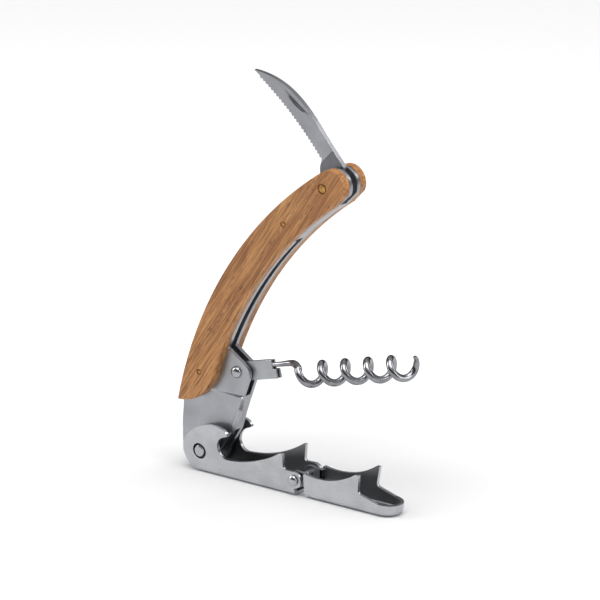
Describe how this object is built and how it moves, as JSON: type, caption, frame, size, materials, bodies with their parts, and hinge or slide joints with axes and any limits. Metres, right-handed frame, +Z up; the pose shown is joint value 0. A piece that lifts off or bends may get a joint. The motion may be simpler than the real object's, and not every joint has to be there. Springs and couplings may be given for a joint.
{
  "type": "lever corkscrew",
  "caption": "Curved wood-handled waiter's corkscrew with a folding serrated foil blade, a worm and a jointed lever with a cap lifter, opened out and standing on its lever.",
  "frame": {"origin": "middle of the object's footprint, on the surface it stands on", "axes": "+X along the lever from its pivot to its nose, +Y across the sheet-metal walls, +Z up"},
  "size_m": [0.0842, 0.0132, 0.1248],
  "materials": {
    "satin_steel": "fine straight brushing, satin",
    "lever_steel": "satin stamped sheet with bright sheared edges",
    "rivet_steel": "smooth pressed heads",
    "spring_steel": "dark tempered strip",
    "polished_steel": "mirror polished wire",
    "blade_steel": "grey ground blade with bright edges",
    "oak": "oiled open-pored wood, rounded edges",
    "brass": "dull, filed flush with the wood"
  },
  "bodies": {
    "handle": {"frame_channel": "satin_steel", "scale_left": "oak", "scale_right": "oak", "blade_pivot_pin": "brass", "scale_pin_upper": "brass", "scale_pin_lower": "brass", "worm_rivet": "rivet_steel", "pivot_rivet": "rivet_steel", "pivot_bush_left": "rivet_steel", "pivot_bush_right": "rivet_steel", "pivot_spacer": "rivet_steel"},
    "blade": {"foil_blade": "blade_steel"},
    "worm": {"worm": "polished_steel", "worm_holder": "satin_steel"},
    "lever": {"lever_first_stage": "lever_steel", "stage_spring": "spring_steel", "stage_rivet": "rivet_steel"},
    "lever_end": {"lever_second_stage": "lever_steel"}
  },
  "joints": [
    {"name": "blade_fold", "type": "hinge", "parent": "handle", "child": "blade", "pos_m": [0.01187, 0, 0.09503], "axis": [0, -1, 0], "range_deg": [0, 92]},
    {"name": "lever_fold", "type": "hinge", "parent": "handle", "child": "lever", "pos_m": [-0.03375, 0, 0.0067], "axis": [0, -1, 0], "range_deg": [-35, 54]},
    {"name": "worm_fold", "type": "hinge", "parent": "handle", "child": "worm", "pos_m": [-0.02205, 0, 0.0327], "axis": [0, -1, 0], "range_deg": [-27, 41.5]},
    {"name": "stage_fold", "type": "hinge", "parent": "lever", "child": "lever_end", "pos_m": [0.00145, 0, 0.0049], "axis": [0, -1, 0], "range_deg": [-45, 0]}
  ],
  "couplings": [
    {"joint": "worm_fold", "follows": "lever_fold", "ratio": 0.76}
  ]
}
